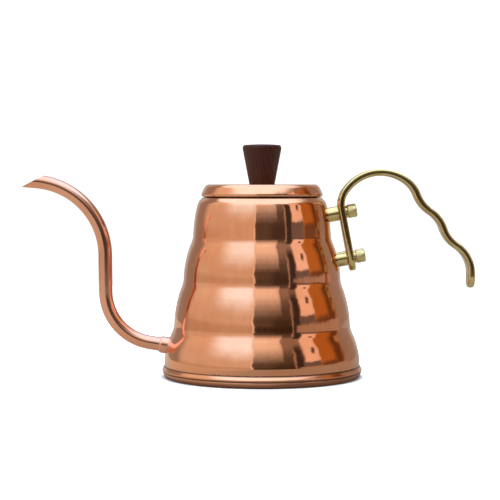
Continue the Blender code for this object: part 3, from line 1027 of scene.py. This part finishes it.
@dataclass
class Spout:
    """The gooseneck tube with its slanted mouth, and the ferrule where it meets the wall."""

    radius: float = 4.5
    sheet: float = 0.7
    bends: tuple[Bend, ...] = (
        Bend(None, 14.1), Bend(34.0, -80.0), Bend(None, 23.7), Bend(48.5, 84.5), Bend(None, 26.0),
    )
    fine: float = 2.5
    sharp: float = 40.0
    lip: Vector = Vector((-157.5, 0.0, 122.75))
    lip_slope: float = 26.8
    sides: int = 64
    knife: Vector = Vector((60.0, 30.0, 20.0))
    collar: tuple[Corner, ...] = (
        Corner(4.45, 0.0), Corner(5.5, 0.0), Corner(5.5, 5.3, 0.25), Corner(4.9, 6.4, 0.25),
        Corner(4.45, 6.4),
    )
    collar_start: float = 1.0
    collar_steps: int = 72

    def build(self, body: CopperBody) -> None:
        """Bends the tube, cuts its mouth and fits the ferrule.

        Args:
            body: The wall that the ferrule sits against.
        """
        start = stand_along(SPOUT_ROOT, heading_vector(SPOUT_HEADING))
        tube = Workpiece.start(
            "spout_pipe", bpy.ops.mesh.primitive_circle_add, start,
            vertices=self.sides, radius=self.radius * MM,
        )
        tube.edit()
        bpy.ops.mesh.select_all(action="SELECT")
        tube.bend_along(SPOUT_ROOT, SPOUT_HEADING, self.bends, self.fine)
        tube.close_up().wear(TUBE_COPPER, LINING).thicken(self.sheet)
        slope = Matrix.Rotation(math.radians(-self.lip_slope), 4, "Y")
        above = Matrix.Translation(self.lip * MM) @ slope @ raised(self.knife.z / 2)
        knife = Workpiece.block("mouth_cut", self.knife, above)
        tube.carve(knife).shade(self.sharp).install(Body.KETTLE, Slot.COPPER, "spout_tube")
        self.fit_collar(body)

    def fit_collar(self, body: CopperBody) -> None:
        """Turns the ferrule and saddles it to the wall.

        Args:
            body: The wall that it sits against.
        """
        axis = heading_vector(SPOUT_HEADING)
        collar = Workpiece.turned("spout_collar", self.collar, self.collar_steps, closed=True)
        collar.set_down(stand_along(SPOUT_ROOT + axis * self.collar_start, axis))
        collar.carve(body.solid("collar_saddle")).wear(TUBE_COPPER).shade()
        collar.install(Body.KETTLE, Slot.COPPER, "spout_ferrule")


# ---------------------------------------------------------------- handle


@dataclass
class StripHandle:
    """The bent brass strip: flat faces, full-round edges and round ends."""

    thickness: float = 4.4
    width: float = 14.0
    start: Vector = Vector((59.2, 0.0, 69.0))
    heading: float = 100.8
    bends: tuple[Bend, ...] = (
        Bend(None, 41.0), Bend(15.0, -44.0), Bend(27.8, -93.0), Bend(20.8, -33.0), Bend(21.8, 35.5),
        Bend(22.7, -38.0), Bend(19.7, 39.0), Bend(21.5, -50.0), Bend(33.8, -9.4),
    )
    edge: tuple[float, float, float] = (6.55, 6.0, 1.2)
    edge_fine: float = 5.0
    bend_fine: float = 2.0
    end_steps: int = 28
    sharp: float = 40.0

    def axis(self) -> Vector:
        """The direction of the posts and screws, square to the strip's straight leg."""
        return heading_vector(self.heading - 90.0)

    def station(self, along: float) -> Vector:
        """The point on the leg's centre line so far from its end."""
        return self.start + heading_vector(self.heading) * along

    def build(self) -> None:
        """Draws the section, bends it and rounds both ends."""
        half = self.width / 2
        thin = self.thickness / 2
        shoulder, crown, corner = self.edge
        outline = (
            Corner(thin, 0.0), Corner(thin, shoulder, corner), Corner(0.0, half, crown),
            Corner(-thin, shoulder, corner), Corner(-thin, 0.0), Corner(-thin, -shoulder, corner),
            Corner(0.0, -half, crown), Corner(thin, -shoulder, corner),
        )
        first = self.station(half)
        flat = Matrix.Rotation(math.radians(90.0), 4, "X")
        start = stand_along(first, heading_vector(self.heading)) @ flat
        strip = Workpiece.section("handle", outline, start, self.edge_fine)
        leg = [Bend(None, self.bends[0].amount - half), *self.bends[1:]]
        last, turned = strip.bend_along(first, self.heading, leg, self.bend_fine)
        for centre, along, square in (
            (first, -heading_vector(self.heading), heading_vector(self.heading - 90.0)),
            (last, heading_vector(turned), heading_vector(turned - 90.0)),
        ):
            self.round_end(strip, centre, along, square)
        strip.close_up().wear(BRASS).shade(self.sharp)
        strip.install(Body.KETTLE, Slot.BRASS, "handle_strip")

    def round_end(
        self, strip: Workpiece, centre: Vector, along: Vector, square: Vector
    ) -> None:
        """Spins half of the end's section round to the other edge.

        Args:
            strip: The bent strip.
            centre: The middle of its end.
            along: The direction out of the end.
            square: The direction across the strip's thickness.
        """
        strip.pick(
            lambda edge: all(
                abs((point.co - centre * MM).dot(along)) < TOUCH * 10 and point.co.y > -TOUCH
                for point in edge.verts
            ),
            Pick.EDGES,
        )
        turn = -math.pi if square.cross(Y_AXIS).dot(along) > 0 else math.pi
        bpy.ops.mesh.spin(steps=self.end_steps, angle=turn, center=centre * MM, axis=square)


@dataclass
class HandleFixings:
    """Stand-offs, socket-head screws, split lock washers, backing washers and rivet heads."""

    stations: tuple[tuple[Post, float], ...] = ((Post.UPPER, 38.5), (Post.LOWER, 8.8))
    gap: float = 0.3
    fine: float = 20.0
    steps: int = 72
    sharp: float = 34.0
    post: tuple[Corner, ...] = (
        Corner(0.0, 0.0), Corner(4.75, 0.0, 0.35), Corner(4.75, -18.0), Corner(0.0, -18.0),
    )
    post_steps: int = 96
    rivet: tuple[Corner, ...] = (
        Corner(0.0, 1.2), Corner(7.0, 1.2, 0.25), Corner(7.0, 0.0, 0.4), Corner(3.9, 0.0, 0.2),
        Corner(3.7, -0.55, 0.5), Corner(2.0, -1.05, 1.5), Corner(0.0, -1.1),
    )
    rivet_fine: float = 15.0
    rivet_slack: float = 0.2
    screw: tuple[Corner, ...] = (
        Corner(0.0, 5.9), Corner(4.4, 5.9, 0.9), Corner(4.4, 2.95), Corner(4.4, 0.55, 0.1),
        Corner(4.1, 0.0, 0.1), Corner(2.5, 0.0), Corner(2.5, -8.0), Corner(0.0, -8.0),
    )
    screw_fine: float = 25.0
    screw_sharp: float = 24.0
    socket_sides: int = 6
    socket_radius: float = 2.3
    socket_depth: float = 2.8
    head_cut: float = 3.8
    knurls: int = 40
    knurl_steps: int = 3
    knurl_depth: float = 0.08
    knurl_side: float = 4.38
    groove: float = 0.1
    washer: tuple[Corner, ...] = (
        Corner(2.6, 0.0), Corner(4.0, 0.0), Corner(4.0, 1.2), Corner(2.6, 1.2),
    )
    washer_turn: float = 340.0
    washer_steps: int = 60
    washer_lift: float = 0.18
    washer_facing: float = -80.0
    washer_ease: tuple[float, float] = (0.12, 50.0)

    def build(self, body: CopperBody, strip: StripHandle) -> None:
        """Makes each fixing once and sets one down at each post.

        Args:
            body: The wall that the posts stand on.
            strip: The strip that they carry.
        """
        screw = self.make_screw()
        washer = self.make_lock_washer()
        for post, along in self.stations:
            place = strip.station(along)
            axis = strip.axis()
            face = place - axis * (strip.thickness / 2 + self.gap / 2)
            self.build_post(post, face, body, axis)
            self.build_backing(post, place, body, axis)
            for fixing, name, node, out in (
                (screw, "cap_screw", "screw", self.washer[-1].height + self.gap),
                (washer, "spring_washer", "lock_washer", self.gap / 2),
            ):
                spot = place + axis * (strip.thickness / 2 + out)
                copy = fixing.twin(f"{post.value}_{name}").set_down(stand_along(spot, axis))
                copy.install(Body.KETTLE, Slot.BRASS, f"{post.value}_{node}")
        screw.scrap()
        washer.scrap()

    def build_post(self, post: Post, face: Vector, body: CopperBody, axis: Vector) -> None:
        """Turns a stand-off and saddles it to the wall.

        Args:
            post: Which of the two it is.
            face: The middle of its face under the strip.
            body: The wall that it stands on.
            axis: Its direction, away from the wall.
        """
        name = f"{post.value}_standoff"
        pillar = Workpiece.turned(name, self.post, self.post_steps, self.fine)
        pillar.set_down(stand_along(face, axis)).carve(body.solid(f"{post.value}_saddle"))
        pillar.wear(BRASS).shade(self.sharp)
        pillar.install(Body.KETTLE, Slot.BRASS, f"{post.value}_post")

    def build_backing(self, post: Post, place: Vector, body: CopperBody, axis: Vector) -> None:
        """Sets the washer and the peened tenon against the inside of the wall.

        Args:
            post: Which of the two posts they hold.
            place: A point on the post's axis, outside the wall.
            body: The wall.
            axis: The post's direction, away from the wall.
        """
        spot, normal = body.meet(place, -axis)
        rim = self.rivet[1]
        sag = spot.x - math.sqrt(spot.x ** 2 - rim.out ** 2)
        inset = body.sheet + self.gap + sag + rim.height + self.rivet_slack
        name = f"{post.value}_rivet"
        rivet = Workpiece.turned(name, self.rivet, self.steps, self.rivet_fine)
        rivet.set_down(stand_along(spot - axis * inset, normal))
        rivet.wear(CAST_BRASS).shade(self.sharp)
        rivet.install(Body.KETTLE, Slot.BRASS, f"{post.value}_backing_washer")

    def make_screw(self) -> Workpiece:
        """Makes a socket-head cap screw with a knurled head, standing on the origin.

        Returns:
            The screw.
        """
        head = self.screw[1]
        steps = self.knurls * self.knurl_steps
        screw = Workpiece.turned("cap_screw", self.screw, steps, self.screw_fine)
        screw.edit()
        screw.pick(self.is_knurl_groove)
        share = 1.0 - self.knurl_depth / head.out
        bpy.ops.transform.resize(value=(share, share, 1.0), center_override=(0.0, 0.0, 0.0))
        screw.close_up()
        floor = raised(head.height - self.socket_depth)
        socket = Workpiece.bar(
            "hex_socket", self.socket_radius, self.head_cut, self.socket_sides, floor
        )
        return screw.carve(socket).wear(CAST_BRASS).shade(self.screw_sharp)

    def is_knurl_groove(self, point: object) -> bool:
        """Whether a bmesh point of the head's side lies in the groove of its knurl."""
        turn = math.atan2(point.co.y, point.co.x) / math.tau * self.knurls
        return point.co.xy.length > self.knurl_side * MM and abs(turn - round(turn)) < self.groove

    def make_lock_washer(self) -> Workpiece:
        """Makes a split spring washer whose ends stand a little apart.

        Returns:
            The washer.
        """
        ring = Workpiece.section("spring_washer", self.washer, raised(0.0), self.fine)
        bpy.ops.mesh.edge_face_add()
        turn = math.radians(self.washer_turn)
        bpy.ops.mesh.spin(
            steps=self.washer_steps, angle=turn, center=(0.0, 0.0, 0.0), axis=(0.0, 0.0, 1.0)
        )
        bpy.ops.transform.translate(value=(0.0, 0.0, self.washer_lift * MM))
        ring.close_up().set_down(Matrix.Rotation(math.radians(self.washer_facing), 4, "Z"))
        width, limit = self.washer_ease
        ring.modify(
            "BEVEL", width=width * MM, segments=3, limit_method="ANGLE",
            angle_limit=math.radians(limit),
        )
        return ring.wear(CAST_BRASS).shade(self.sharp)


# ---------------------------------------------------------------- lid


@dataclass
class Lid:
    """The spun cover with its vent, and the steel ring that drops into the neck."""

    cover: tuple[Corner, ...] = (
        Corner(2.3, 124.3), Corner(28.0, 124.3, 1.6), Corner(29.6, 125.1, 1.6),
        Corner(35.2, 125.1, 2.0), Corner(37.2, 123.6, 3.0), Corner(39.45, 118.9, 1.2),
        Corner(39.1, 117.4, 0.7), Corner(37.7, 116.95),
    )
    sheet: float = 0.55
    skirt: tuple[Corner, ...] = (
        Corner(33.0, 109.3), Corner(33.3, 109.2, 0.2), Corner(33.3, 118.4, 1.2),
        Corner(37.6, 118.4),
    )
    skirt_sheet: float = 0.7
    steps: int = 224
    vent_out: float = -21.0
    vent_radius: float = 1.3
    vent_drill: float = 8.0
    vent_sides: int = 32
    fine: float = 5.0
    longest: float = 4.0
    skirt_fine: float = 12.0
    sharp: float = 40.0

    def build(self) -> None:
        """Spins the cover, pierces its vent and turns the ring."""
        cover = Workpiece.turned(
            "lid_top", self.cover, self.steps, self.fine, longest=self.longest
        )
        cover.wear(COPPER, LINING).thicken(self.sheet).shade(self.sharp)
        where = raised(self.cover[0].height - self.vent_drill / 2, self.vent_out)
        tool = Workpiece.bar(
            "vent_drill", self.vent_radius, self.vent_drill, self.vent_sides, where
        )
        cover.drill(tool).install(Body.LID, Slot.COPPER, "lid_cover")
        ring = Workpiece.turned("lid_ring", self.skirt, self.steps, self.skirt_fine)
        ring.wear(STEEL).thicken(self.skirt_sheet).shade(self.sharp)
        ring.install(Body.LID, Slot.STEEL, "lid_skirt")


@dataclass
class Knob:
    """The tapered wooden knob, with the screw and washer that hold it from below."""

    section: tuple[Corner, ...] = (
        Corner(0.0, 151.1), Corner(6.5, 151.0, 40.0), Corner(12.3, 150.55, 1.3),
        Corner(12.6, 148.2, 1.6), Corner(8.1, 124.6, 0.5), Corner(3.8, 124.6),
        Corner(3.8, 137.0), Corner(0.0, 137.0),
    )
    washer: tuple[Corner, ...] = (
        Corner(2.3, 123.2), Corner(6.0, 123.2, 0.2), Corner(6.0, 122.2, 0.3), Corner(2.3, 122.2),
    )
    screw: tuple[Corner, ...] = (
        Corner(0.0, 134.6), Corner(1.6, 134.6), Corner(2.0, 134.2), Corner(2.0, 121.9, 0.1),
        Corner(4.0, 121.9, 0.15), Corner(4.0, 119.5, 1.1), Corner(0.0, 119.3),
    )
    slot_size: Vector = Vector((4.6, 0.9, 2.6))
    steps: int = 128
    fine: float = 8.0
    longest: float = 3.0
    sharp: float = 40.0
    washer_steps: int = 72
    washer_fine: float = 20.0
    screw_steps: int = 64
    screw_fine: float = 12.0

    def build(self) -> None:
        """Turns the knob, and the screw and washer below it."""
        knob = Workpiece.turned(
            "knob", self.section, self.steps, self.fine, longest=self.longest
        )
        knob.wear(WOOD).shade(self.sharp).install(Body.LID, Slot.WOOD, "lid_knob")
        washer = Workpiece.turned(
            "knob_disc", self.washer, self.washer_steps, self.washer_fine, closed=True
        )
        washer.wear(STEEL).shade().install(Body.LID, Slot.STEEL, "knob_washer")
        screw = Workpiece.turned("knob_bolt", self.screw, self.screw_steps, self.screw_fine)
        low = raised(self.screw[-1].height)
        for turn in (0.0, math.pi / 2):
            where = low @ Matrix.Rotation(turn, 4, "Z")
            screw.carve(Workpiece.block("cross_slot", self.slot_size, where))
        screw.wear(STEEL).shade().install(Body.LID, Slot.STEEL, "knob_screw")
        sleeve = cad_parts["knob_insert"]
        sleeve.data.materials.clear()
        sleeve.data.materials.append(CAST_BRASS.material())


# ---------------------------------------------------------------- studio


class Glow(NamedTuple):
    """A soft-edged panel of light or shade around the kettle, in degrees seen from its middle.

    Bearings are measured from the front, positive towards the handle.
    """

    name: str
    bearing: tuple[float, float]
    rise: tuple[float, float]
    soft: tuple[float, float]
    colour: Colour


class Mottle(NamedTuple):
    """Noise that unsettles the room: features, detail and strength."""

    scale: float
    detail: float
    strength: float = 1.0


@dataclass
class Studio:
    """Camera, pale floor and the soft studio light that the metal mirrors."""

    lens: float = 109.08
    sensor: float = 36.0
    camera_place: Vector = Vector((-0.0078, -0.985, 0.126))
    camera_dip: float = 2.53
    room: Colour = (0.40, 0.36, 0.32)
    # Painted reflection colours of the floor, which only reflected rays see: dull, and lighter on
    # the left side.
    floor_painted_reflection: Colour = (0.22, 0.20, 0.165)
    floor_painted_reflection_left: Colour = (0.46, 0.39, 0.28)
    floor_pale: Colour = (0.85, 0.85, 0.85)
    floor_dull: Colour = (0.22, 0.20, 0.17)
    floor_light: float = 0.72
    floor_radius: float = 0.9
    floor_sides: int = 96
    # Painted contact shadow round the foot, seen by the camera, and its darker copy in the floor's
    # painted reflection.
    painted_contact_shadow: Colour = (0.12, 0.10, 0.09)
    mirror_painted_contact_shadow: Colour = (0.03, 0.025, 0.02)
    foot: tuple[float, float] = (0.0641, 0.0676)
    mirror_foot: tuple[float, float] = (0.0641, 0.068)
    # The painted shadow ring in the reflection reaches further on the +X side.
    shade_side: tuple[float, float] = (0.0, 0.055)
    shade_reach: float = 0.014
    left_side: tuple[float, float] = (-0.13, -0.01)
    sky: float = 1.15
    bearing_stir: Mottle = Mottle(9.0, 3.0, 7.0)
    rise_stir: Mottle = Mottle(12.0, 3.0, 5.0)
    cloud: Mottle = Mottle(5.0, 4.0)
    cloud_colour: Colour = (0.80, 0.78, 0.76)
    glows: tuple[Glow, ...] = (
        Glow("back sky", (-200.0, 200.0), (50.0, 91.0), (1.0, 10.0), (1.5, 2.0, 2.7)),
        Glow("left wall", (-114.0, -11.0), (-90.0, 91.0), (8.0, 1.2), (0.69, 0.62, 0.50)),
        Glow("left middle wall", (-114.0, -11.0), (4.2, 91.0), (8.0, 2.6), (0.85, 0.80, 0.72)),
        Glow("left upper wall", (-110.0, -11.0), (22.0, 91.0), (10.0, 12.0), (1.02, 0.98, 0.88)),
        Glow("key", (-66.0, -8.0), (24.0, 70.0), (16.0, 12.0), (1.35, 2.0, 2.75)),
        Glow("front shade", (-11.5, 42.0), (-90.0, 91.0), (1.2, 14.0), (0.13, 0.115, 0.10)),
        Glow("front upper shade", (-11.5, 26.0), (25.0, 91.0), (1.2, 15.0), (1.18, 1.24, 1.26)),
        Glow("front upper right", (26.0, 50.0), (27.0, 45.0), (5.0, 9.0), (0.38, 0.35, 0.33)),
        Glow("front low right", (14.0, 42.0), (-90.0, 12.0), (8.0, 6.0), (0.075, 0.062, 0.052)),
        Glow("front low", (-11.5, 44.0), (-90.0, 2.2), (1.2, 2.0), (0.045, 0.032, 0.022)),
        Glow("dark stand", (41.5, 51.5), (-90.0, 34.0), (1.5, 7.0), (0.06, 0.05, 0.05)),
        Glow("thin strip", (39.0, 41.0), (-10.0, 27.0), (0.7, 3.0), (0.50, 0.44, 0.40)),
        Glow("warm wall", (74.0, 113.0), (3.0, 37.0), (1.6, 4.0), (0.56, 0.26, 0.06)),
        Glow("warm corner", (98.0, 113.0), (-2.0, 34.0), (5.0, 6.0), (0.17, 0.08, 0.03)),
        Glow("warm foot", (74.0, 100.0), (2.0, 8.0), (3.0, 2.0), (0.20, 0.11, 0.06)),
        Glow("window", (53.0, 74.0), (11.5, 41.0), (1.2, 2.0), (1.15, 1.04, 0.98)),
        Glow("window catch", (64.5, 68.5), (20.5, 27.5), (0.8, 1.0), (0.16, 0.10, 0.08)),
        Glow("under window", (50.0, 72.5), (3.6, 11.5), (1.2, 1.2), (0.20, 0.19, 0.21)),
        Glow("table edge", (46.0, 119.0), (-3.0, 2.6), (2.0, 0.9), (0.50, 0.44, 0.38)),
        Glow("panel edge", (-13.2, -11.0), (-6.0, 60.0), (0.6, 6.0), (1.15, 1.15, 1.15)),
        Glow("overhead", (-150.0, 104.0), (45.5, 91.0), (14.0, 5.0), (1.6, 2.1, 2.7)),
        Glow("back strip right", (151.0, 168.0), (-6.0, 46.0), (5.0, 9.0), (0.62, 0.58, 0.54)),
        Glow("back strip left", (-168.0, -148.0), (-6.0, 46.0), (5.0, 9.0), (0.62, 0.58, 0.54)),
    )

    def build(self) -> None:
        """Sets up the camera, the floor and the light."""
        self.build_camera()
        self.build_floor()
        self.build_light()
        bpy.context.scene.view_settings.view_transform = "Standard"

    def build_camera(self) -> None:
        """A camera a metre in front, a little above the lid and tipped down."""
        data = bpy.data.cameras.new("camera")
        data.lens = self.lens
        data.sensor_width = self.sensor
        camera = bpy.data.objects.new("camera", data)
        camera.location = self.camera_place
        camera.rotation_euler = (math.radians(90.0 - self.camera_dip), 0.0, 0.0)
        bpy.context.scene.collection.objects.link(camera)
        bpy.context.scene.camera = camera

    def build_floor(self) -> None:
        """A plain pale table top that runs out of sight. It glows white to the camera but for a
        painted contact shadow round the foot; to reflections it shows painted colours, darker,
        lighter on the left, with a painted shadow ring round the foot.
        """
        bpy.ops.object.select_all(action="DESELECT")
        bpy.ops.mesh.primitive_circle_add(
            vertices=self.floor_sides, radius=self.floor_radius, fill_type="NGON"
        )
        floor = bpy.context.object
        floor.name = "floor"
        material = bpy.data.materials.new("floor")
        material.use_nodes = True
        book = NodeBook(material.node_tree)
        x, y, _ = book.parts(book.place())
        out = (x * x + y * y) ** 0.5
        shaded = out - book.step(x, *self.shade_side) * self.shade_reach
        # Painted contact shadow: the floor's glow, as the camera sees it, darkens round the foot.
        white = book.blend(book.step(out, *self.foot), self.painted_contact_shadow, (1.0, 1.0, 1.0))
        # Painted reflection: reflected rays see a dull floor, lighter on the left, with a darker
        # painted shadow ring round the foot that reaches further on the +X side.
        mirror = book.blend(
            book.step(x, *self.left_side), self.floor_painted_reflection_left, self.floor_painted_reflection
        )
        dark = book.blend(book.step(shaded, *self.mirror_foot), self.mirror_painted_contact_shadow, mirror)
        seen = self.glowing(book, self.floor_pale, white, self.floor_light)
        mirrored = self.glowing(book, self.floor_dull, dark, 1.0)
        direct = book.add("ShaderNodeLightPath", output="Is Camera Ray")
        surface = book.add("ShaderNodeMixShader", None, {0: direct, 1: mirrored, 2: seen})
        book.add("ShaderNodeOutputMaterial", None, {"Surface": surface})
        floor.data.materials.append(material)

    @staticmethod
    def glowing(book: NodeBook, colour: Colour, glow: Value, strength: float) -> Value:
        """A dull surface that also gives light.

        Args:
            book: The material's tree.
            colour: The surface's colour.
            glow: The light's colour.
            strength: The light's strength.

        Returns:
            The shader.
        """
        dull = book.add("ShaderNodeBsdfDiffuse", None, {"Color": (*colour, 1.0)})
        lit = book.add("ShaderNodeEmission", None, {"Color": glow, "Strength": strength})
        return book.add("ShaderNodeAddShader", None, {0: dull, 1: lit})

    def build_light(self) -> None:
        """The room around the kettle, in soft panels, with plain white for the camera."""
        world = bpy.data.worlds.new("studio")
        world.use_nodes = True
        bpy.context.scene.world = world
        book = NodeBook(world.node_tree)
        way = book.add("ShaderNodeTexCoord", output="Generated")
        x, y, z = book.parts(way)
        turn = book.add("ShaderNodeMath", {"operation": "ARCTAN2"}, {0: x, 1: -y})
        climb = book.add("ShaderNodeMath", {"operation": "ARCSINE"}, {0: z})
        bearing = turn * math.degrees(1.0) + self.stirred(book, way, self.bearing_stir)
        rise = climb * math.degrees(1.0) + self.stirred(book, way, self.rise_stir)
        light: object = self.room
        for glow in self.glows:
            mask = book.between(bearing, glow.bearing, glow.soft[0])
            mask = mask * book.between(rise, glow.rise, glow.soft[1])
            light = book.blend(mask, light, glow.colour)
        cloud = book.noise(way, self.cloud.scale, self.cloud.detail)
        light = book.blend(cloud, light, self.cloud_colour, "MULTIPLY")
        around = book.add("ShaderNodeBackground", None, {"Color": light, "Strength": 1.0})
        white = (1.0, 1.0, 1.0, 1.0)
        sky = book.add("ShaderNodeBackground", None, {"Color": white, "Strength": self.sky})
        direct = book.add("ShaderNodeLightPath", output="Is Camera Ray")
        surface = book.add("ShaderNodeMixShader", None, {0: direct, 1: around, 2: sky})
        book.add("ShaderNodeOutputWorld", None, {"Surface": surface})

    @staticmethod
    def stirred(book: NodeBook, way: Value, stir: Mottle) -> Value:
        """A shift of so many degrees at most, by noise."""
        return (book.noise(way, stir.scale, stir.detail) - 0.5) * stir.strength


def main() -> None:
    """Builds the kettle and its studio."""
    logging.basicConfig(level=logging.INFO, format="%(name)s: %(message)s")
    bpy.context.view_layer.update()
    Studio().build()
    body = CopperBody()
    body.build()
    BasePan().build()
    Spout().build(body)
    strip = StripHandle()
    strip.build()
    HandleFixings().build(body, strip)
    Lid().build()
    Knob().build()


if __name__ == "__main__":
    main()
